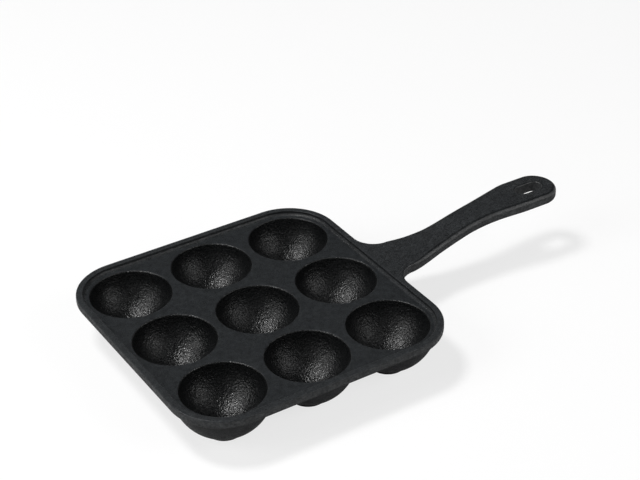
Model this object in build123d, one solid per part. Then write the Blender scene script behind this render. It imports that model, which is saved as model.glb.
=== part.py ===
from build123d import *
import math
import os

# A cast iron pan for round pancakes: a square tray with a low rim, nine half-round cups and a handle.
# Millimetres. The origin is on the surface that the pan stands on, under the centre cup.
# +X runs along the handle, +Z is up, and the pan is its own mirror image across the XZ plane.
# The real pan is one casting. Here it is split into the features that a foundry drawing names, and
# neighbours meet face to face.

# Cups
bowl_radius = 28.0           # the inside is half a ball with its centre on the deck's top face
mouth_fillet = 1.0           # rounds the edge between the bowl and the deck
plug_land = 1.0              # flat ring round the mouth that belongs to the cup
side_wall = 5.0              # iron beside the bowl, at the deck
bottom_wall = 3.9            # iron under the bowl
foot_radius = 12.6           # round pad under each cup
foot_stand = 0.7             # how far the pad reaches below the round bottom
foot_edge_fillet = 0.8
web_cone = 2.5               # height of the cone between the cup's outside and the deck
cups_per_side = 3

# Deck and rim
deck_thickness = 3.5
web_width = 3.0              # deck left between two neighbouring plugs
border_margin = 0.4          # flat deck between a plug and the foot of the rim
rim_width = 4.6
rim_height = 3.3             # above the deck
rim_edge_fillet = 1.0
rim_inner_fillet = 0.5
rim_foot_fillet = 2.2        # hollow rounding where the rim's inner wall meets the deck
under_edge_fillet = 2.5      # the tray's lower outside edge
rim_seam_rise = 0.15         # the deck keeps the first sliver of the rim's foot, so no edge is a knife edge

# Handle
handle_reach = 151.2         # from the tray's outer wall to the tip
handle_rise = 15.4           # top of the grip above the top of the rim
root_thickness = 8.0
grip_thickness = 8.6
root_half_width = 17.3       # half the width where the root flare ends
neck_half_width = 11.7       # half the width at the slimmest place
grip_half_width = 16.2       # half the width at the end, which is also the tip's radius
handle_top_radius = 3.0      # rounding of the grip's upper edges
handle_under_radius = 2.5
root_run = 16.5              # from the outer wall to where the root flare ends
root_fillet = 16.0           # flare between the root and the outer wall
root_tongue = 2.0            # how far the root is let into the tray's wall

# Hanging slot
slot_length = 21.5
slot_width = 10.2
slot_edge_fillet = 1.2
slot_to_tip = 10.5           # iron between the slot and the tip
slot_to_bend = 0.5           # flat iron between the slot's rounded edge and where the handle starts to bend

overrun = 10.0               # how far a cutting tool runs past what it cuts

# Worked out from the sizes above
plug_radius = bowl_radius + mouth_fillet + plug_land
pitch = 2 * plug_radius + web_width
outer_radius = bowl_radius + side_wall
outer_rise = side_wall - bottom_wall
deck_top = outer_radius - outer_rise + foot_stand
deck_under = deck_top - deck_thickness
rim_top = deck_top + rim_height
edge_distance = plug_radius + border_margin + rim_foot_fillet + rim_width
reach = (cups_per_side - 1) / 2 * pitch
tray_half = reach + edge_distance
tip_x = tray_half + handle_reach
tip_centre_x = tip_x - grip_half_width
root_seam_x = tray_half - root_tongue
root_end_x = tray_half + root_run
flare_half = root_half_width + root_fillet
slot_centre_x = tip_x - slot_to_tip - slot_length / 2
flat_end_x = slot_centre_x - slot_length / 2 - slot_edge_fillet - slot_to_bend
above_all = rim_top + handle_rise + overrun

# The handle's run from the end of the root to the flat end that holds the slot, as shares chosen by hand:
# place along the run, width between neck and root, height between rim and grip, thickness between root
# and grip, and rounding of the upper edges between rim and grip.
ROOT_SHARES = [
    (0.000, 1.00, 0.000, 0.0, 0.0),
    (0.025, 0.96, 0.005, 0.0, 0.2),
    (0.063, 0.85, 0.020, 0.0, 0.5),
    (0.162, 0.52, 0.104, 0.0, 1.0),
    (0.281, 0.16, 0.247, 0.0, 1.0),
    (0.411, 0.03, 0.461, 0.0, 1.0),
    (0.530, 0.00, 0.656, 0.0, 1.0),
]
# The same for the grip, with the width between the neck and the end.
GRIP_SHARES = [
    (0.650, 0.09, 0.792, 0.1, 1.0),
    (0.769, 0.34, 0.890, 0.3, 1.0),
    (0.888, 0.71, 0.958, 0.7, 1.0),
    (1.000, 1.00, 1.000, 1.0, 1.0),
]

# Rows run towards the handle. Left and right are those of someone who holds it and looks over the cups.
ROWS = ["far", "middle", "near"]
SIDES = ["left", "middle", "right"]


def between(low, high, share):
    return low + (high - low) * share


def block(x_range, y_range, z_range):
    """A box from its lowest to its highest corner."""
    size = [high - low for low, high in (x_range, y_range, z_range)]
    centre = [(high + low) / 2 for low, high in (x_range, y_range, z_range)]
    return Pos(*centre) * Box(*size)


def tray_outline(inset):
    """The tray's rounded square, drawn in by inset. Its corners are round about the corner cups."""
    side = 2 * (tray_half - inset)
    return RectangleRounded(side, side, edge_distance - inset)


def edges_of_recess(body, height):
    """The edges of the rim's inner wall at one height."""
    inside = tray_half - rim_width + rim_edge_fillet / 2
    inner = [e for e in body.edges() if max(abs(e.center().X), abs(e.center().Y)) < inside]
    return [e for e in inner if abs(e.center().Z - height) < rim_edge_fillet / 2]


def make_tray():
    """Deck and rim as one block, with its edges rounded."""
    body = Pos(0, 0, deck_under) * extrude(tray_outline(0), deck_thickness + rim_height)
    body = fillet(body.edges().group_by(Axis.Z)[-1], rim_edge_fillet)
    body = fillet(body.edges().group_by(Axis.Z)[0], under_edge_fillet)
    body -= Pos(0, 0, deck_top) * extrude(tray_outline(rim_width), rim_height + overrun)
    body = fillet(edges_of_recess(body, rim_top), rim_inner_fillet)
    return fillet(edges_of_recess(body, deck_top), rim_foot_fillet)


def root_outline():
    """The root seen from above, with its flare. The tongue is larger than its pocket and is trimmed later."""
    depth = root_tongue + handle_under_radius
    tongue = Pos(tray_half - depth / 2, 0) * Rectangle(depth, 2 * (flare_half + root_fillet))
    arm = Pos(tray_half + (root_run - depth) / 2, 0) * Rectangle(depth + root_run, 2 * root_half_width)
    plan = tongue + arm
    at_wall = [v for v in plan.vertices() if abs(v.X - tray_half) < root_tongue / 2]
    return fillet([v for v in at_wall if abs(v.Y) < flare_half], root_fillet)


def make_root():
    """The root block, rounded along the flare and then trimmed to the pocket in the tray's wall."""
    root_under = rim_top - root_thickness
    margin = rim_edge_fillet / 4
    body = Pos(0, 0, root_under) * extrude(root_outline(), root_thickness)
    for height, radius in ((rim_top, rim_edge_fillet), (root_under, handle_under_radius)):
        level = [e for e in body.edges() if abs(e.center().Z - height) < margin]
        flare = [e for e in level if tray_half - margin < e.center().X < root_end_x - margin]
        body = fillet(flare, radius)
    return body & block((root_seam_x, root_end_x), (-flare_half, flare_half), (0, above_all))


def handle_section(x, half_width, top, depth, top_radius):
    """One upright cross-section of the handle: a rectangle with rounded corners."""
    plane = Plane(origin=(x, 0, top - depth / 2), x_dir=(0, 1, 0), z_dir=(1, 0, 0))
    section = plane * Rectangle(2 * half_width, depth)
    section = fillet(section.vertices().group_by(Axis.Z)[-1], top_radius)
    return fillet(section.vertices().group_by(Axis.Z)[0], handle_under_radius)


def make_handle():
    """The root, a loft to the flat end, the flat end, and a half turn round the tip."""
    stations = [(root_half_width, shares) for shares in ROOT_SHARES]
    stations += [(grip_half_width, shares) for shares in GRIP_SHARES]
    sections = []
    for broad, (place, wide, high, deep, rounded) in stations:
        x = between(root_end_x, flat_end_x, place)
        half_width = between(neck_half_width, broad, wide)
        top = rim_top + handle_rise * high
        depth = between(root_thickness, grip_thickness, deep)
        top_radius = between(rim_edge_fillet, handle_top_radius, rounded)
        sections.append(handle_section(x, half_width, top, depth, top_radius))
    flat_run = tip_centre_x - flat_end_x
    flat_end = extrude(sections[-1], flat_run, dir=(1, 0, 0))
    one_side = block((0, tip_x), (0, 2 * grip_half_width), (0, above_all))
    tip_section = Pos(flat_run, 0, 0) * sections[-1] & one_side
    tip = revolve(tip_section, Axis((tip_centre_x, 0, 0), (0, 0, -1)), 180)
    return make_root() + (loft(sections) + (flat_end + tip))


def cut_hanging_slot(handle):
    """The slot near the tip, through the handle, with its upper and lower edges rounded."""
    slot = extrude(SlotOverall(slot_length, slot_width), above_all)
    handle -= Pos(slot_centre_x, 0, 0) * slot
    middle = rim_top + handle_rise - grip_thickness / 2
    edges = []
    for edge in handle.edges():
        spot = edge.center()
        beside = abs(spot.X - slot_centre_x) < slot_length / 2 + slot_edge_fillet
        beside = beside and abs(spot.Y) < slot_width / 2 + slot_edge_fillet
        if beside and abs(spot.Z - middle) > grip_thickness / 4:
            edges.append(edge)
    return fillet(edges, slot_edge_fillet)


def cup_place(row, side):
    return (row * pitch - reach, side * pitch - reach)


def cup_cell(row, side):
    """The space under the deck that belongs to one cup: neighbours meet halfway."""
    ranges = []
    for place, number in zip(cup_place(row, side), (row, side)):
        before = pitch / 2 if number > 0 else edge_distance
        after = pitch / 2 if number < cups_per_side - 1 else edge_distance
        ranges.append((place - before, place + after))
    return block(ranges[0], ranges[1], (0, deck_top))


def make_cup(row, side):
    """One cup: a plug in the deck's hole, a round shell under the deck and a foot pad."""
    shoulder = deck_under - deck_top - outer_rise
    shoulder_radius = math.sqrt(outer_radius**2 - shoulder**2)
    shell = Pos(0, 0, deck_top + outer_rise) * Sphere(outer_radius)
    shell &= block((-outer_radius, outer_radius), (-outer_radius, outer_radius), (0, deck_under))
    # The corner under the deck is filled by a cone, half as wide as it is high.
    cone = Cone(shoulder_radius, shoulder_radius + web_cone / 2, web_cone)
    shell += Pos(0, 0, deck_under - web_cone / 2) * cone
    shell += Pos(0, 0, deck_under + deck_thickness / 2) * Cylinder(plug_radius, deck_thickness)
    pad_height = bottom_wall + foot_stand
    pad = Pos(0, 0, pad_height / 2) * Cylinder(foot_radius, pad_height)
    pad = fillet(pad.edges().group_by(Axis.Z)[0], foot_edge_fillet)
    cup = shell + pad - Pos(0, 0, deck_top) * Sphere(bowl_radius)
    rings = cup.edges().filter_by(GeomType.CIRCLE)
    mouth = [e for e in rings if abs(e.radius - bowl_radius) < mouth_fillet / 4]
    cup = fillet([e for e in mouth if abs(e.center().Z - deck_top) < mouth_fillet / 4], mouth_fillet)
    x, y = cup_place(row, side)
    return Pos(x, y, 0) * cup & cup_cell(row, side)


def save(shape, name):
    """Writes one node and prints its size."""
    export_step(shape, f"parts/{name}.step")
    size = shape.bounding_box().size
    box = f"{size.X:.1f} x {size.Y:.1f} x {size.Z:.1f} mm"
    print(f"{name}: {len(shape.solids())} solid, {shape.volume:.0f} mm3, {box}")


os.makedirs("parts", exist_ok=True)

handle = cut_hanging_slot(make_handle())
handle_space = block((root_seam_x, tip_x), (-flare_half, flare_half), (0, above_all))
above_seam = block((-tip_x, tip_x), (-tip_x, tip_x), (deck_top + rim_seam_rise, above_all))

tray = make_tray() - handle_space
rim = tray & above_seam
deck = tray - above_seam

for row in range(cups_per_side):
    for side in range(cups_per_side):
        x, y = cup_place(row, side)
        deck -= Pos(x, y, deck_top) * Cylinder(plug_radius, 2 * deck_thickness + overrun)

save(deck, "deck")
save(rim, "rim")
save(handle, "handle")
for row in range(cups_per_side):
    for side in range(cups_per_side):
        centre = row == side == (cups_per_side - 1) / 2
        save(make_cup(row, side), "cup_centre" if centre else f"cup_{ROWS[row]}_{SIDES[side]}")
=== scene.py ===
# %% [markdown]
# # A cast iron pan for round pancakes
# The real pan is one iron casting: a square tray with a low rim, nine half-round cups and a handle that
# rises to a hanging slot. The CAD frame holds it as twelve solids, in metres. Here each of them gets a
# dressed mesh in the same place, with the small roundings and the sand grain that a casting has. Sizes
# are read off the frame, or have a name where they are first used. The lamps and the finish of the iron
# were found by comparing renders with the photograph, so they fit that one picture and aren't measured.

# %% Load the CAD frame
import math

import bmesh
import bpy
from mathutils import Matrix, Vector


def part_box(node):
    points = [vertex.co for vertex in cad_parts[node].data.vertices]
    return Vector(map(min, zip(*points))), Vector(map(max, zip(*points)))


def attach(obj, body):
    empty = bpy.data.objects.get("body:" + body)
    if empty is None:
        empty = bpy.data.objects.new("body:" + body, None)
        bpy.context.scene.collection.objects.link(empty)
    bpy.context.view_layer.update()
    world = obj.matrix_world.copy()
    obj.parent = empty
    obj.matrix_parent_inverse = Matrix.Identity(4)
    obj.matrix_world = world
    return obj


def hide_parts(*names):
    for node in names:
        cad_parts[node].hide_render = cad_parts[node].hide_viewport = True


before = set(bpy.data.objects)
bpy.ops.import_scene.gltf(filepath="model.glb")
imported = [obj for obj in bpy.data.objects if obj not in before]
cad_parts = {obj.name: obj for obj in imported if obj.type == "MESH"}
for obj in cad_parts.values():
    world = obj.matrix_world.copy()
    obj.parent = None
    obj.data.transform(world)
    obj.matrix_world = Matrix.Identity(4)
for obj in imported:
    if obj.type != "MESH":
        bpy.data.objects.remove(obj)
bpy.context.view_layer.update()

# %% [markdown]
# ## The camera
# The photograph was taken from the front left of the pan, from about 33 degrees above and, at the size
# that the pan is taken to have, a little over a metre away. Its place was solved from the mouths of the
# cups, which are circles of one size on one plane. A long lens keeps the far edge of the tray nearly as
# wide as the near one.

# %% Place the camera
mm = 0.001
deck_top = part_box("cup_centre")[1].z

azimuth = math.radians(-32.14)
elevation = math.radians(32.71)
roll = math.radians(-0.80)
distance = 1133.4 * mm
aim_right = 42.04 * mm
aim_up = 46.26 * mm

flat = math.cos(elevation)
back = Vector((math.sin(azimuth) * flat, -math.cos(azimuth) * flat, math.sin(elevation)))
level = Vector((math.cos(azimuth), math.sin(azimuth), 0))
upright = back.cross(level)
right = math.cos(roll) * level + math.sin(roll) * upright
up = math.cos(roll) * upright - math.sin(roll) * level

lens = bpy.data.cameras.new("camera")
lens.sensor_width = 36.0
lens.lens = 94.8
camera = bpy.data.objects.new("camera", lens)
bpy.context.scene.collection.objects.link(camera)
camera.location = Vector((0, 0, deck_top)) + aim_right * right + aim_up * up + distance * back
camera.rotation_euler = Matrix((right, up, back)).transposed().to_euler()
bpy.context.scene.camera = camera
bpy.context.scene.view_settings.view_transform = "Standard"
print("camera at", [round(1000 * c) for c in camera.location], "mm")

# %% [markdown]
# ## The floor
# The pan stands on white paper that shows no edge and no horizon, only the pan's soft shadow. A lit
# white plane is never quite even, so part of the white that the camera sees is the floor's own glow, and
# the rest comes from the lamps, which the pan can block. That share sets how dark the shadow is. The
# iron mirrors the floor too, mostly the shaded floor beside it, so it sees less of the glow. Seen from
# below, the floor lets the view through.

# %% Lay the floor
floor_half = 12.0
camera_glow = 0.74
mirror_glow = 0.10
white = (1, 1, 1, 1)
paper_white = (0.9, 0.9, 0.9, 1)

bpy.ops.object.select_all(action="DESELECT")
bpy.ops.mesh.primitive_plane_add(size=2 * floor_half)
floor = bpy.context.object
floor.name = "floor"


def new_material(name):
    """An empty node material, its tree and its output."""
    material = bpy.data.materials.new(name)
    material.use_nodes = True
    tree = material.node_tree
    tree.nodes.clear()
    return material, tree, tree.nodes.new("ShaderNodeOutputMaterial")


def add(tree, kind, **settings):
    """Adds a node and sets its properties and, by their labels, its sockets."""
    node = tree.nodes.new(f"ShaderNode{kind}")
    for name, value in settings.items():
        if hasattr(node, name):
            setattr(node, name, value)
        else:
            node.inputs[name.replace("_", " ")].default_value = value
    return node


def join(tree, *links):
    """Links sockets, given as (from node, its output, to node, its input)."""
    for source, out, target, into in links:
        tree.links.new(source.outputs[out], target.inputs[into])


paper, tree, output = new_material("white_paper")
lit = add(tree, "BsdfDiffuse", Color=paper_white)
glow = add(tree, "Emission", Color=white, Strength=1.0)
path = add(tree, "LightPath")
mirrored = add(tree, "Math", operation="MAXIMUM")
mirror_share = add(tree, "Math", operation="MULTIPLY")
mirror_share.inputs[1].default_value = mirror_glow
camera_share = add(tree, "Math", operation="MULTIPLY")
camera_share.inputs[1].default_value = camera_glow
share = add(tree, "Math", operation="MAXIMUM")
blend = add(tree, "MixShader")
seen_from = add(tree, "NewGeometry")
clear = add(tree, "BsdfTransparent")
one_sided = add(tree, "MixShader")
join(
    tree,
    (path, "Is Glossy Ray", mirrored, 0),
    (path, "Is Transmission Ray", mirrored, 1),
    (mirrored, 0, mirror_share, 0),
    (path, "Is Camera Ray", camera_share, 0),
    (camera_share, 0, share, 0),
    (mirror_share, 0, share, 1),
    (share, 0, blend, 0),
    (lit, 0, blend, 1),
    (glow, 0, blend, 2),
    (seen_from, "Backfacing", one_sided, 0),
    (blend, 0, one_sided, 1),
    (clear, 0, one_sided, 2),
    (one_sided, 0, output, "Surface"),
)
floor.data.materials.append(paper)
print("floor", 2 * floor_half, "m wide, glow", camera_glow, "for the camera and", mirror_glow, "in the iron")

# %% [markdown]
# ## The light
# The highlights in the nine round bowls tell where the lamps stood, because each bowl mirrors the whole
# room: a strong soft lamp high up behind the pan's far left, which also casts the one shadow, a weaker
# one low on the left and one low on the right. No highlight tells of the fourth. It is wide and faint
# and hangs behind the camera, because the sides that face the viewer came out too dark without it. All
# are area lamps aimed at the tray.

# %% Hang the lamps
def hang_lamp(name, turn, height, away, width, strength):
    """A square lamp at a compass turn and a height in degrees, aimed at the tray. A strength of 1 alone
    would make white paper that faces it render as white."""
    turn, height = math.radians(turn), math.radians(height)
    level_part = math.cos(height)
    toward = Vector((math.cos(turn) * level_part, math.sin(turn) * level_part, math.sin(height)))
    light = bpy.data.lights.new(name, "AREA")
    light.shape = "SQUARE"
    light.size = width
    light.energy = strength * math.pi**2 * away**2
    lamp = bpy.data.objects.new(name, light)
    bpy.context.scene.collection.objects.link(lamp)
    lamp.location = Vector((0, 0, deck_top)) + away * toward
    lamp.rotation_euler = toward.to_track_quat("Z", "Y").to_euler()
    print(name, [round(c, 2) for c in lamp.location], "m,", round(light.energy, 1), "W")


hang_lamp("lamp_top", turn=148, height=68, away=2.0, width=0.45, strength=0.83)
hang_lamp("lamp_left", turn=175, height=34, away=2.0, width=1.0, strength=0.38)
hang_lamp("lamp_right", turn=-50, height=29, away=2.0, width=1.2, strength=0.37)
hang_lamp("lamp_front", turn=222, height=18, away=3.0, width=2.4, strength=0.09)

# %% [markdown]
# ## The room
# In the photograph, edges that look towards the horizon are pale and the flat deck is dark, as if white
# paper rose a little way round the pan under a dark ceiling. The world does both: to what the iron
# mirrors it is white up to a low height, to the camera it is white, and the light that it adds is nearly
# none, or the black iron would turn grey.

# %% Darken the room above the paper
room_light = 0.03
paper_height = 9
# Up to the height with this sine the paper is fully white, and from there it fades to its edge.
full_white = 0.1

world = bpy.data.worlds.new("dark_room")
world.use_nodes = True
bpy.context.scene.world = world
tree = world.node_tree
background = tree.nodes["Background"]
background.inputs["Color"].default_value = white
direction = add(tree, "TexCoord")
parts = add(tree, "SeparateXYZ")
paper_edge = math.sin(math.radians(paper_height))
sky = add(tree, "MapRange", From_Min=paper_edge, From_Max=full_white, To_Min=room_light, To_Max=1)
path = add(tree, "LightPath")
in_iron = add(tree, "Math", operation="MULTIPLY")
seen = add(tree, "Math", operation="MAXIMUM")
strength = add(tree, "Math", operation="MAXIMUM")
strength.inputs[1].default_value = room_light
join(
    tree,
    (direction, "Generated", parts, 0),
    (parts, "Z", sky, "Value"),
    (sky, 0, in_iron, 0),
    (path, "Is Glossy Ray", in_iron, 1),
    (in_iron, 0, seen, 0),
    (path, "Is Camera Ray", seen, 1),
    (seen, 0, strength, 0),
    (strength, 0, background, "Strength"),
)
print("paper up to", paper_height, "degrees, room at", room_light)

# %% [markdown]
# ## Working by hand, in code
# Every piece starts as a primitive and is shaped in edit mode. An edit-mode operator acts on what is
# selected, and a script can't click, so these helpers select by place instead.

# %% Start, select, draw and finish
def start(kind, name, **settings):
    """Adds a primitive, moves its place into the mesh and opens edit mode."""
    bpy.ops.object.select_all(action="DESELECT")
    getattr(bpy.ops.mesh, f"primitive_{kind}_add")(**settings)
    piece = bpy.context.object
    piece.name = name
    piece.data.name = name
    bpy.ops.object.transform_apply(location=True, rotation=True, scale=True)
    bpy.ops.object.mode_set(mode="EDIT")
    return piece


def start_point(name, x, z):
    """Starts a section, to be drawn in the XZ plane, as a single vertex."""
    piece = start("plane", name, size=mm, location=(x, 0, z))
    bpy.ops.mesh.select_mode(type="VERT")
    bpy.ops.mesh.select_all(action="SELECT")
    bpy.ops.mesh.merge(type="CENTER")
    return piece


def add_rectangle(middle, long, wide, rotation=(0, 0, 0)):
    """In edit mode, adds a rectangle that is long in X, or upright in Z, and wide in Y."""
    bpy.ops.mesh.primitive_plane_add(size=1, location=middle, rotation=rotation)
    bpy.ops.transform.resize(value=(long, wide, long), center_override=middle)


def pick(kind, test):
    """Selects the vertices, edges or faces whose middle passes the test, and nothing else. Returns how
    many it found."""
    bpy.ops.mesh.select_mode(type=kind)
    bpy.ops.mesh.select_all(action="DESELECT")
    mesh = bmesh.from_edit_mesh(bpy.context.object.data)
    if kind == "VERT":
        found = [v for v in mesh.verts if test(v.co)]
    elif kind == "EDGE":
        found = [e for e in mesh.edges if test((e.verts[0].co + e.verts[1].co) / 2)]
    else:
        found = [f for f in mesh.faces if test(f.calc_center_median())]
    for item in found:
        item.select = True
    mesh.select_flush_mode()
    bmesh.update_edit_mesh(bpy.context.object.data)
    return len(found)


# Tolerances: same_place for two coordinates, margin for being on a curve or beyond a place.
same_place = 0.02 * mm
margin = 0.1 * mm


def near(a, b):
    """Whether two coordinates are the same, to within the tolerance."""
    return abs(a - b) < same_place


def draw_to(x, z):
    """Extrudes the selected end of a section, drawn in the XZ plane, to a new point."""
    mesh = bmesh.from_edit_mesh(bpy.context.object.data)
    here = [v.co.copy() for v in mesh.verts if v.select][0]
    bpy.ops.mesh.extrude_region_move(TRANSFORM_OT_translate={"value": (x - here.x, 0, z - here.z)})


def round_corners(test, radius, steps):
    """Rounds the corners of an outline or section that pass the test."""
    pick("VERT", test)
    bpy.ops.mesh.bevel(affect="VERTICES", offset_type="OFFSET", offset=radius, segments=steps)


def round_edges(test, radius, steps):
    """Rounds the edges that pass the test, and counts them."""
    found = pick("EDGE", test)
    bpy.ops.mesh.bevel(affect="EDGES", offset_type="OFFSET", offset=radius, segments=steps)
    return found


def raise_by(height):
    """Extrudes the whole outline straight up."""
    bpy.ops.mesh.select_all(action="SELECT")
    bpy.ops.mesh.extrude_region_move(TRANSFORM_OT_translate={"value": (0, 0, height)})
    bpy.ops.mesh.select_all(action="SELECT")
    bpy.ops.mesh.normals_make_consistent(inside=False)


def make_active(piece):
    """Selects one object and nothing else, so that the next operator acts on it."""
    bpy.ops.object.select_all(action="DESELECT")
    piece.select_set(True)
    bpy.context.view_layer.objects.active = piece


weld = 0.004 * mm


def close_up(piece):
    """Merges doubled vertices, turns the faces outwards and leaves edit mode."""
    bpy.ops.mesh.select_all(action="SELECT")
    bpy.ops.mesh.remove_doubles(threshold=weld)
    bpy.ops.mesh.normals_make_consistent(inside=False)
    bpy.ops.object.mode_set(mode="OBJECT")
    return piece


def cut_away(piece, tool):
    """Cuts a tool's shape out of a piece and throws the tool away."""
    make_active(piece)
    cut = piece.modifiers.new("cut", "BOOLEAN")
    cut.operation = "DIFFERENCE"
    cut.object = tool
    bpy.ops.object.modifier_apply(modifier=cut.name)
    bpy.data.objects.remove(tool)


def smooth(piece, angle=35):
    """Smooths all but the real edges, with normals that follow the large faces."""
    make_active(piece)
    bpy.ops.object.shade_smooth_by_angle(angle=math.radians(angle))
    even = piece.modifiers.new("even", "WEIGHTED_NORMAL")
    even.keep_sharp = True
    bpy.ops.object.modifier_apply(modifier=even.name)
    print(piece.name, len(piece.data.polygons), "faces")
    return piece

# %% [markdown]
# ## One cup
# A cup is a round form, so half of its section is drawn and spun. The section runs from the middle of
# the bowl, up its wall and over the rounded mouth, along the flat ring that shows in the deck, down the
# plug, out under the deck, through the cast rounding, down the outside and over the foot pad. Arcs are
# drawn by spinning the end point about their own middle, which is truer than a row of typed points.

# %% Draw and spin the cup
deck_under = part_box("deck")[0].z
bowl_radius = 28.0 * mm
mouth_rounding = 1.0 * mm
plug_radius = 30.0 * mm
outer_radius = 33.0 * mm
outer_rise = 1.1 * mm
outer_middle = deck_top + outer_rise
shoulder_rounding = 1.8 * mm
pad_radius = 12.6 * mm
pad_rounding = 0.8 * mm
around = 96
shoulder_steps, mouth_steps, pad_steps = 6, 5, 4


def arc_to(middle_x, middle_z, degrees, steps):
    """Spins the selected end of a section about a middle, anticlockwise as seen from the front."""
    middle = (middle_x, 0, middle_z)
    bpy.ops.mesh.spin(steps=steps, angle=math.radians(degrees), center=middle, axis=(0, 1, 0))


shoulder_middle = deck_under - shoulder_rounding
rise = outer_middle - shoulder_middle
shoulder_reach = math.sqrt((outer_radius + shoulder_rounding) ** 2 - rise**2)
shoulder_turn = math.degrees(math.atan2(shoulder_reach, rise))
pad_turn = math.degrees(math.asin(pad_radius / outer_radius))

cup = start_point("cup", 0, deck_top - bowl_radius)
arc_to(0, deck_top, 90, around // 4)
draw_to(plug_radius, deck_top)
draw_to(plug_radius, deck_under)
draw_to(shoulder_reach, deck_under)
arc_to(shoulder_reach, shoulder_middle, shoulder_turn, shoulder_steps)
arc_to(0, outer_middle, pad_turn - shoulder_turn, around // 4)
draw_to(pad_radius, 0)
draw_to(0, 0)
round_corners(lambda p: near(p.x, bowl_radius) and near(p.z, deck_top), mouth_rounding, mouth_steps)
round_corners(lambda p: near(p.x, pad_radius) and near(p.z, 0), pad_rounding, pad_steps)
bpy.ops.mesh.select_all(action="SELECT")
bpy.ops.mesh.spin(steps=around, angle=2 * math.pi, center=(0, 0, 0), axis=(0, 0, 1))
close_up(cup)
print("cup", len(cup.data.vertices), "vertices,", [round(1000 * s, 1) for s in cup.dimensions], "mm")

# %% [markdown]
# ## Nine cups
# The cups are cast in one go, and the outsides of two neighbours run into each other halfway. So the
# cup is copied to its nine places, and each copy is cut off by a plane on every side where it has a
# neighbour. The cut is filled, which keeps each cup a closed shape of its own.

# %% Copy and trim the cups
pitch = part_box("cup_centre")[1].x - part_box("cup_centre")[0].x
tray_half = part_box("deck")[1].x
reach = pitch
edge_distance = tray_half - reach
rows = {"far": -1, "middle": 0, "near": 1}
sides = {"left": -1, "middle": 0, "right": 1}
cups = {}


def trim(side_of_pan, axis, sign):
    """Cuts the selected cup off halfway to its neighbour and fills the cut."""
    place = [0, 0, 0]
    place[axis] = side_of_pan * pitch + sign * pitch / 2
    normal = [0, 0, 0]
    normal[axis] = sign
    bpy.ops.mesh.select_all(action="SELECT")
    bpy.ops.mesh.bisect(plane_co=place, plane_no=normal, use_fill=True, clear_outer=True)


for row, x in rows.items():
    for side, y in sides.items():
        node = "cup_centre" if x == y == 0 else f"cup_{row}_{side}"
        make_active(cup)
        bpy.ops.object.duplicate()
        bpy.ops.transform.translate(value=(x * pitch, y * pitch, 0))
        bpy.ops.object.transform_apply(location=True, rotation=True, scale=True)
        piece = bpy.context.object
        piece.name = f"cast_{node}"
        bpy.ops.object.mode_set(mode="EDIT")
        for axis, step in ((0, x), (1, y)):
            for sign in (-1, 1):
                has_neighbour = abs(step + sign) < 2
                if has_neighbour:
                    trim(step, axis, sign)
        bpy.ops.object.mode_set(mode="OBJECT")
        cups[node] = smooth(piece)
bpy.data.objects.remove(cup)

# %% [markdown]
# ## The deck
# The deck is the flat plate that joins the cups. Its outline is a square whose corners are round about
# the corner cups, so rounding the four corners of a plane draws it, and extruding gives it its
# thickness. The nine plugs of the cups and the root of the handle are then cut out of it.

# %% Cast the deck
under_rounding = 2.5 * mm
seam_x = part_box("handle")[0].x
flare_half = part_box("handle")[1].y
corner_steps = 24
edge_steps = 6
overrun = 10 * mm


def handle_space():
    """A block that holds the handle's root, to cut deck and rim free of it."""
    depth = tray_half - seam_x + overrun
    middle = (seam_x + depth / 2, 0, deck_top)
    size = (depth, 2 * flare_half, 2 * overrun)
    block = start("cube", "handle_space", size=1, location=middle, scale=size)
    bpy.ops.object.mode_set(mode="OBJECT")
    return block


def plug_space():
    """Nine round bars in one mesh, to cut the holes for the cups."""
    bar = {"vertices": around, "radius": plug_radius, "depth": 2 * overrun}
    bars = start("cylinder", "plugs", location=(0, 0, deck_top), **bar)
    for x in rows.values():
        for y in sides.values():
            if x or y:
                place = (x * pitch, y * pitch, deck_top)
                bpy.ops.mesh.primitive_cylinder_add(location=place, **bar)
    bpy.ops.object.mode_set(mode="OBJECT")
    return bars


deck = start("plane", "cast_deck", size=2 * tray_half, location=(0, 0, deck_under))
round_corners(lambda p: True, edge_distance, corner_steps)
raise_by(deck_top - deck_under)
round_edges(lambda p: near(p.z, deck_under), under_rounding, edge_steps)
close_up(deck)
cut_away(deck, plug_space())
cut_away(deck, handle_space())
smooth(deck)

# %% [markdown]
# ## The rim
# The rim is the same section all the way round, so its section is drawn once and led round the tray:
# extruded along the straight walls and spun about each corner. A round corner of the section comes
# from rounding a drawn corner, also the hollow one at the rim's foot.

# %% Lead the rim round the tray
rim_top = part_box("rim")[1].z
rim_width = 4.6 * mm
rim_rounding = 1.0 * mm
inner_rounding = 0.5 * mm
rim_foot = 2.2 * mm
inner_steps, foot_steps = 4, 10
inner_wall = tray_half - rim_width

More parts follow.
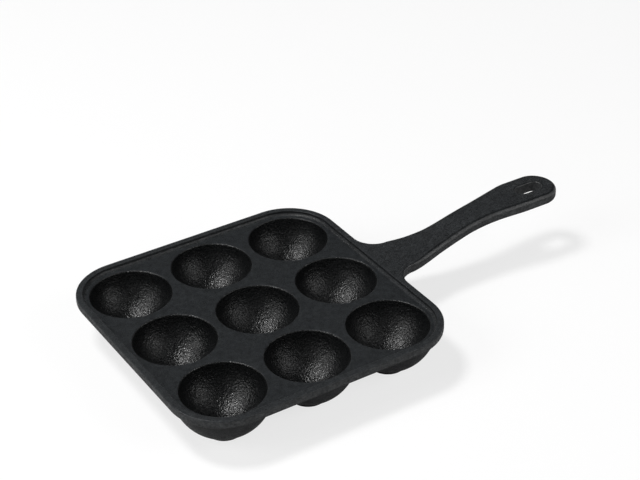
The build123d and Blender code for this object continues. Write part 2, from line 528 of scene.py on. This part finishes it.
rim = start_point("cast_rim", tray_half, deck_top)
draw_to(tray_half, rim_top)
draw_to(inner_wall, rim_top)
draw_to(inner_wall, deck_top)
draw_to(inner_wall - 2 * rim_foot, deck_top)
round_corners(lambda p: near(p.x, tray_half) and near(p.z, rim_top), rim_rounding, edge_steps)
round_corners(lambda p: near(p.x, inner_wall) and near(p.z, rim_top), inner_rounding, inner_steps)
round_corners(lambda p: near(p.x, inner_wall) and near(p.z, deck_top), rim_foot, foot_steps)
pick("VERT", lambda p: near(p.x, inner_wall - 2 * rim_foot))
bpy.ops.mesh.delete(type="VERT")
pick("VERT", lambda p: near(p.z, deck_top))
bpy.ops.mesh.edge_face_add()
bpy.ops.mesh.select_all(action="SELECT")
for quarter in range(4):
    turn = quarter * math.pi / 2
    outward = Vector((math.cos(turn), math.sin(turn), 0))
    ahead = Vector((-math.sin(turn), math.cos(turn), 0))
    bpy.ops.mesh.extrude_region_move(TRANSFORM_OT_translate={"value": ahead * reach})
    corner = (outward + ahead) * reach
    bpy.ops.mesh.spin(steps=corner_steps, angle=math.pi / 2, center=corner, axis=(0, 0, -1))
    bpy.ops.mesh.extrude_region_move(TRANSFORM_OT_translate={"value": -outward * reach})
close_up(rim)
print("rim", [round(1000 * s, 1) for s in rim.dimensions], "mm,", len(rim.data.vertices), "vertices")
cut_away(rim, handle_space())
smooth(rim)

# %% [markdown]
# ## The handle
# The handle grows out of the tray's wall in a flare, narrows, rises, widens again and ends in a flat
# round tip. Two ways of modelling meet in it: its root and its tip are outlines with their corners
# rounded, extruded and rounded along their edges, and between them upright sections are bridged. Its
# underside doesn't show in the photograph and is a guess. The flare is as wide as the CAD solid's, which
# is too wide: it stands 2 pixels off the photograph's outline on the far side.

# %% The root
tip_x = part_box("handle")[1].x
grip_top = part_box("handle")[1].z
root_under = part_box("handle")[0].z
root_half = 17.3 * mm
root_run = 16.5 * mm
root_end = tray_half + root_run
root_rounding = flare_half - root_half
root_steps = 18
tongue = 5 * mm

handle = start("plane", "cast_handle", size=1)
bpy.ops.mesh.delete(type="VERT")
add_rectangle((tray_half - tongue / 2, 0, root_under), tongue, 2 * flare_half)
# The edge is cut in three, and its middle third is widened to the root's width and drawn out.
pick("EDGE", lambda p: near(p.x, tray_half))
bpy.ops.mesh.subdivide(number_cuts=2)
pick("VERT", lambda p: near(p.x, tray_half) and abs(p.y) < flare_half / 2)
widening = 3 * root_half / flare_half
bpy.ops.transform.resize(value=(1, widening, 1), center_override=(tray_half, 0, root_under))
pick("EDGE", lambda p: near(p.x, tray_half) and near(p.y, 0))
bpy.ops.mesh.extrude_region_move(TRANSFORM_OT_translate={"value": (root_end - tray_half, 0, 0)})
bpy.ops.mesh.select_all(action="SELECT")
bpy.ops.mesh.dissolve_faces()
round_corners(lambda p: near(p.x, tray_half) and abs(p.y) < flare_half - mm, root_rounding, root_steps)
bpy.ops.mesh.select_all(action="SELECT")
bpy.ops.mesh.remove_doubles(threshold=weld)
raise_by(rim_top - root_under)


def on_flare(height):
    """A test for the edges along the flare at one height."""
    return lambda p: near(p.z, height) and tray_half - margin < p.x < root_end - margin


print("root", round_edges(on_flare(rim_top), rim_rounding, edge_steps), "edges")
print("root", round_edges(on_flare(root_under), under_rounding, edge_steps), "edges")
bpy.ops.mesh.select_all(action="SELECT")
bpy.ops.mesh.bisect(plane_co=(seam_x, 0, 0), plane_no=(1, 0, 0), use_fill=True, clear_inner=True)
pick("FACE", lambda p: near(p.x, root_end))
bpy.ops.mesh.delete(type="ONLY_FACE")

# %% The flat tip
grip_half = 16.2 * mm
grip_depth = 8.6 * mm
tip_length = 33.7 * mm
flat_end = tip_x - tip_length
top_rounding = 3.0 * mm
tip_steps = 24
grip_under = grip_top - grip_depth

add_rectangle(((flat_end + tip_x) / 2, 0, grip_under), tip_x - flat_end, 2 * grip_half)
round_corners(lambda p: near(p.x, tip_x), grip_half, tip_steps)
pick("VERT", lambda p: p.x > flat_end - mm)
bpy.ops.mesh.remove_doubles(threshold=weld)
pick("FACE", lambda p: p.x > flat_end)
bpy.ops.mesh.extrude_region_move(TRANSFORM_OT_translate={"value": (0, 0, grip_depth)})


def on_tip(height):
    """A test for the edges round the tip at one height."""
    return lambda p: near(p.z, height) and p.x > flat_end + margin


print("tip", round_edges(on_tip(grip_top), top_rounding, edge_steps), "edges")
print("tip", round_edges(on_tip(grip_under), under_rounding, edge_steps), "edges")
pick("FACE", lambda p: near(p.x, flat_end))
bpy.ops.mesh.delete(type="ONLY_FACE")

# %% The sections between root and tip
# A place is a share of the way from the root's end, 0, to the flat tip, 1. Each table says for some
# places how far a size has changed: a width from the neck's to the root's or the grip's, and the top's
# height, the depth and the upper rounding from the root's to the tip's.
neck_half = 11.7 * mm
neck_place = 0.530
root_widths = [(0, 1.0), (0.025, 0.96), (0.063, 0.85), (0.162, 0.52), (0.281, 0.16), (0.411, 0.03)]
root_widths.append((neck_place, 0))
grip_widths = [(neck_place, 0), (0.650, 0.09), (0.769, 0.34), (0.888, 0.71), (1, 1.0)]
low_rises = [(0, 0), (0.025, 0.005), (0.063, 0.020), (0.162, 0.104), (0.281, 0.247), (0.411, 0.461)]
rises = low_rises + [(neck_place, 0.656), (0.650, 0.792), (0.769, 0.890), (0.888, 0.958), (1, 1.0)]
depths = [(0, 0), (neck_place, 0), (0.650, 0.1), (0.769, 0.3), (0.888, 0.7), (1, 1.0)]
roundings = [(0, 0), (0.025, 0.2), (0.063, 0.5), (0.162, 1.0), (1, 1.0)]
section_count = 30


def share_at(place, shares):
    """Reads a smooth curve through (place, share) points, flat at both ends."""
    slopes = [0.0]
    for (a, low), (b, middle), (c, high) in zip(shares, shares[1:], shares[2:]):
        before, after = (middle - low) / (b - a), (high - middle) / (c - b)
        slopes.append(2 * before * after / (before + after) if before * after > 0 else 0.0)
    slopes.append(0.0)
    for (a, low), (b, high), start_slope, end_slope in zip(shares, shares[1:], slopes, slopes[1:]):
        if place <= b:
            t = (place - a) / (b - a)
            bend = start_slope * t * (1 - t) ** 2 - end_slope * t**2 * (1 - t)
            return low * (1 + 2 * t) * (1 - t) ** 2 + high * t**2 * (3 - 2 * t) + (b - a) * bend
    return shares[-1][1]


def between(low, high, share):
    """The value at a share of the way from one to another."""
    return low + (high - low) * share


def add_section(x, half_width, top, depth, upper, lower):
    """Adds one upright cross-section with rounded corners."""
    add_rectangle((x, 0, top - depth / 2), depth, 2 * half_width, rotation=(0, math.pi / 2, 0))
    round_corners(lambda p: near(p.x, x) and near(p.z, top), upper, edge_steps)
    round_corners(lambda p: near(p.x, x) and near(p.z, top - depth), lower, edge_steps)
    pick("FACE", lambda p: near(p.x, x))
    bpy.ops.mesh.delete(type="ONLY_FACE")


cuts = [root_end, flat_end]
for number in range(1, section_count):
    place = number / section_count
    if place < neck_place:
        half_width = between(neck_half, root_half, share_at(place, root_widths))
    else:
        half_width = between(neck_half, grip_half, share_at(place, grip_widths))
    top = between(rim_top, grip_top, share_at(place, rises))
    depth = between(rim_top - root_under, grip_depth, share_at(place, depths))
    upper = between(rim_rounding, top_rounding, share_at(place, roundings))
    cuts.append(between(root_end, flat_end, place))
    add_section(cuts[-1], half_width, top, depth, upper, under_rounding)
pick("EDGE", lambda p: any(near(p.x, x) for x in cuts))
bpy.ops.mesh.bridge_edge_loops()
close_up(handle)
print("handle", [round(1000 * s, 1) for s in handle.dimensions], "mm from", len(cuts), "sections")

# %% [markdown]
# ### The hanging slot
# A long hole near the tip takes a hook. It is cast with the handle, so its edges come out rounded.

# %% Cut the slot
slot_length = 21.5 * mm
slot_width = 10.2 * mm
slot_to_tip = 10.5 * mm
slot_middle = tip_x - slot_to_tip - slot_length / 2
slot_rounding = 1.2 * mm
slot_steps, slot_edge_steps = 16, 5

slot = start("plane", "slot", size=1)
bpy.ops.mesh.delete(type="VERT")
add_rectangle((slot_middle, 0, grip_under - overrun), slot_length, slot_width)
round_corners(lambda p: True, slot_width / 2, slot_steps)
bpy.ops.mesh.select_all(action="SELECT")
bpy.ops.mesh.remove_doubles(threshold=weld)
raise_by(grip_depth + 2 * overrun)
bpy.ops.object.mode_set(mode="OBJECT")
cut_away(handle, slot)
make_active(handle)
bpy.ops.object.mode_set(mode="EDIT")


def on_slot(p):
    """Whether a point lies on the slot's wall, seen from above."""
    straight = max(abs(p.x - slot_middle) - (slot_length - slot_width) / 2, 0)
    return abs(math.hypot(straight, p.y) - slot_width / 2) < margin


for height in (grip_top, grip_under):
    found = round_edges(lambda p: near(p.z, height) and on_slot(p), slot_rounding, slot_edge_steps)
    print("slot", found, "edges")
close_up(handle)
smooth(handle)

# %% [markdown]
# ## Seasoned iron
# Cast iron that has been oiled and baked is almost black, with a touch of blue green. What tells iron
# from black paint is its grain: the sand of the mould leaves small pits and lumps, and they break each
# highlight up into sparks. So the grain is a bump about as coarse as it seems in the photograph, made of
# pits, fine noise and slower waves. Slow noise also makes the iron a little duller or glossier in places.
# All of it reads Object coordinates, and since each piece sits at the origin, the grain runs on from
# piece to piece, as on one casting.

# %% Mix the iron
patch_size = 4 * mm
patch_change = 0.25
film_size = 40 * mm
film_change = 0.04
spark_change = 0.15
ramp_low, ramp_high = 0.35, 0.65


def noise(tree, place, size, detail):
    """Noise whose features are about one size across."""
    texture = add(tree, "TexNoise", Scale=1 / size, Detail=detail, Roughness=0.6)
    tree.links.new(place.outputs["Object"], texture.inputs["Vector"])
    return texture


def remap(tree, source, low, high, out_low, out_high):
    """Stretches a texture's value from one range to another."""
    change = add(tree, "MapRange", From_Min=low, From_Max=high, To_Min=out_low, To_Max=out_high)
    tree.links.new(source.outputs[0], change.inputs["Value"])
    return change


def total(tree, *parts):
    """Adds up the values of several nodes."""
    kept = parts[0]
    for part in parts[1:]:
        plus = add(tree, "Math", operation="ADD")
        join(tree, (kept, 0, plus, 0), (part, 0, plus, 1))
        kept = plus
    return kept


def cast_iron(name, colour, gloss, roughness, grain, pit_depth, grit):
    """Black iron with sand grain: grain is the size of its pits, pit_depth how deep they are, and grit
    how much paler than the film the tops of the grains are rubbed."""
    material, tree, output = new_material(name)
    iron = tree.nodes.new("ShaderNodeBsdfPrincipled")
    iron.inputs["Specular IOR Level"].default_value = gloss
    place = add(tree, "TexCoord")

    pits = add(tree, "TexVoronoi", feature="SMOOTH_F1", Scale=1 / (1.5 * grain), Smoothness=0.3)
    tree.links.new(place.outputs["Object"], pits.inputs["Vector"])
    pit_height = remap(tree, pits, 0.0, 0.8, 0.0, 0.6)
    fine_height = remap(tree, noise(tree, place, grain, 1.0), 0.0, 1.0, 0.0, 1.2)
    wave_height = remap(tree, noise(tree, place, 6 * grain, 1.0), 0.0, 1.0, 0.0, 1.0)
    bump = add(tree, "Bump", Strength=1.0, Distance=pit_depth)
    height = total(tree, pit_height, fine_height, wave_height)
    join(tree, (height, 0, bump, "Height"), (bump, 0, iron, "Normal"))

    slow = noise(tree, place, film_size, 2.0)
    film = remap(tree, slow, ramp_low, ramp_high, -film_change, film_change)
    quick = noise(tree, place, 0.8 * grain, 0.0)
    spark = remap(tree, quick, 0.3, 0.7, roughness - spark_change, roughness + spark_change)
    tree.links.new(total(tree, film, spark).outputs[0], iron.inputs["Roughness"])

    patches = add(tree, "ValToRGB")
    ends = ((ramp_low, 1 - patch_change), (ramp_high, 1 + patch_change))
    for element, (position, share) in zip(patches.color_ramp.elements, ends):
        element.position = position
        element.color = (*(share * c for c in colour), 1)
    rubbed = remap(tree, noise(tree, place, 1.4 * grain, 2.0), ramp_low, ramp_high, 1 - grit, 1 + grit)
    tint = add(tree, "VectorMath", operation="SCALE")
    join(
        tree,
        (noise(tree, place, patch_size, 5.0), 0, patches, 0),
        (patches, 0, tint, 0),
        (rubbed, 0, tint, "Scale"),
        (tint, 0, iron, "Base Color"),
        (iron, 0, output, "Surface"),
    )
    print(name, "with pits", round(1000 * grain, 2), "mm wide")
    return material


IRONS = [
    # name, colour, gloss, roughness, and in mm the size and the depth of the pits, then grit
    ("seasoned_tray_iron", (0.0168, 0.0184, 0.0198), 0.16, 0.40, 0.8, 0.12, 0.20),
    ("bare_handle_iron", (0.0190, 0.0205, 0.0218), 0.20, 0.38, 1.0, 0.22, 0.35),
    # The edge iron is glossier, and its paler colour is a painted highlight on the handle's rounded edges.
    ("glossy_edge_iron_painted_highlight", (0.0240, 0.0252, 0.0260), 0.45, 0.42, 1.0, 0.25, 0.45),
    ("pale_rim_iron", (0.0208, 0.0225, 0.0240), 0.18, 0.40, 0.8, 0.15, 0.30),
    ("oily_hollow_iron", (0.0172, 0.0184, 0.0193), 0.27, 0.36, 0.9, 0.22, 0.25),
    ("seasoned_bowl_iron", (0.0034, 0.0038, 0.0040), 0.33, 0.35, 1.0, 0.28, 0.0),
    # The wall iron is dull, and its paler colour is painted reflection of the bright floor on upright walls.
    ("dull_wall_iron_painted_reflection", (0.0375, 0.0388, 0.0398), 0.06, 0.62, 1.0, 0.15, 0.30),
    ("raw_outer_iron", (0.0196, 0.0200, 0.0206), 0.06, 0.60, 1.0, 0.08, 0.08),
    # The dark line iron is painted shade, along the handle's upper edge and on the rim's inner wall by it.
    ("painted_shade_line_iron", (0.0105, 0.0115, 0.0122), 0.12, 0.42, 1.0, 0.15, 0.20),
]
irons = {}
for name, colour, gloss, roughness, grain, pit_depth, grit in IRONS:
    irons[name] = cast_iron(name, colour, gloss, roughness, grain * mm, pit_depth * mm, grit)

# %% [markdown]
# ## Use, wear and painted light
# One iron doesn't look the same all over. The bowls are the darkest and glossiest, the flat top is dull,
# the rim's top is paler, and the walls and the outsides of the cups are the dullest. Oil in the bowls
# would explain their look. The handle's rounded upper edges are paler and glossier, and their paleness is
# a painted highlight. The upright outer walls and the handle's sides are paler too, which is painted
# reflection of the bright floor. The photograph also has a bright line in the hollow at the rim's foot
# and a dark line along the handle's upper edge. What causes the dark line can't be seen, so it is drawn
# here as a darker iron, which is painted shade. The rim's inner wall by the handle has the same painted
# shade, only because it came out paler than in the photograph without it. Each face gets its iron by
# where it is and which way it looks.

# %% Dress the pieces
# A piece's irons in their order. A face starts with the first.
TOP, WALL, OUTER, BOWL, EDGE, HOLLOW, SHADE_LINE = range(7)
# Limits for a face's normal: for how far up it looks, and for how far it leans sideways.
level_look, upright_look = 0.99, 0.3
line_lean, edge_lean = 0.08, 0.5


def sideways(look, spot):
    """How far a face of the handle leans towards its side. Along the rise, its slope doesn't count."""
    return abs(look.y) if root_end < spot.x < flat_end else math.hypot(look.x, look.y)


dressed = {"deck": deck, "rim": rim, "handle": handle, **cups}
for node, piece in dressed.items():
    on_handle = node == "handle"
    top = "bare_handle_iron" if on_handle else "pale_rim_iron" if node == "rim" else "seasoned_tray_iron"
    piece.data.materials.clear()
    others = ["dull_wall_iron_painted_reflection", "raw_outer_iron", "seasoned_bowl_iron"]
    others += ["glossy_edge_iron_painted_highlight", "oily_hollow_iron", "painted_shade_line_iron"]
    for name in [top] + others:
        piece.data.materials.append(irons[name])
    low, high = (Vector(corner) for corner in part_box(node))
    middle = (low + high) / 2
    cup_middle = Vector((round(middle.x / pitch) * pitch, round(middle.y / pitch) * pitch, deck_top))
    for face in piece.data.polygons:
        look, spot = face.normal, face.center
        outward = max(look.x * spot.x, look.y * spot.y) > 0
        inside = cup_middle - spot
        lean = sideways(look, spot)
        # On the handle's rounding, the lower part gets the painted highlight and the strip by the top
        # painted shade.
        if on_handle and lean > line_lean and not on_slot(spot):
            face.material_index = EDGE if lean > edge_lean else SHADE_LINE
        # Upright outer walls and the handle's sides get the paler iron, which is painted reflection of the
        # floor.
        if look.z < upright_look and (outward or on_handle):
            face.material_index = WALL
        if node == "rim" and not outward and look.z < level_look and spot.z < rim_top - inner_rounding:
            face.material_index = HOLLOW
        # The rim's inner wall by the handle is darkened with the painted shade of the dark line iron.
        if node == "rim" and look.x < -line_lean and look.z < upright_look and spot.x > 0:
            face.material_index = SHADE_LINE
        if look.z < -upright_look or node in cups and spot.z < deck_under:
            face.material_index = OUTER
        if node in cups and inside.length < bowl_radius + 3 * margin and look.dot(inside) > 0:
            face.material_index = BOWL
    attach(piece, "root")
    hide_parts(node)
print(len(dressed), "pieces dressed")
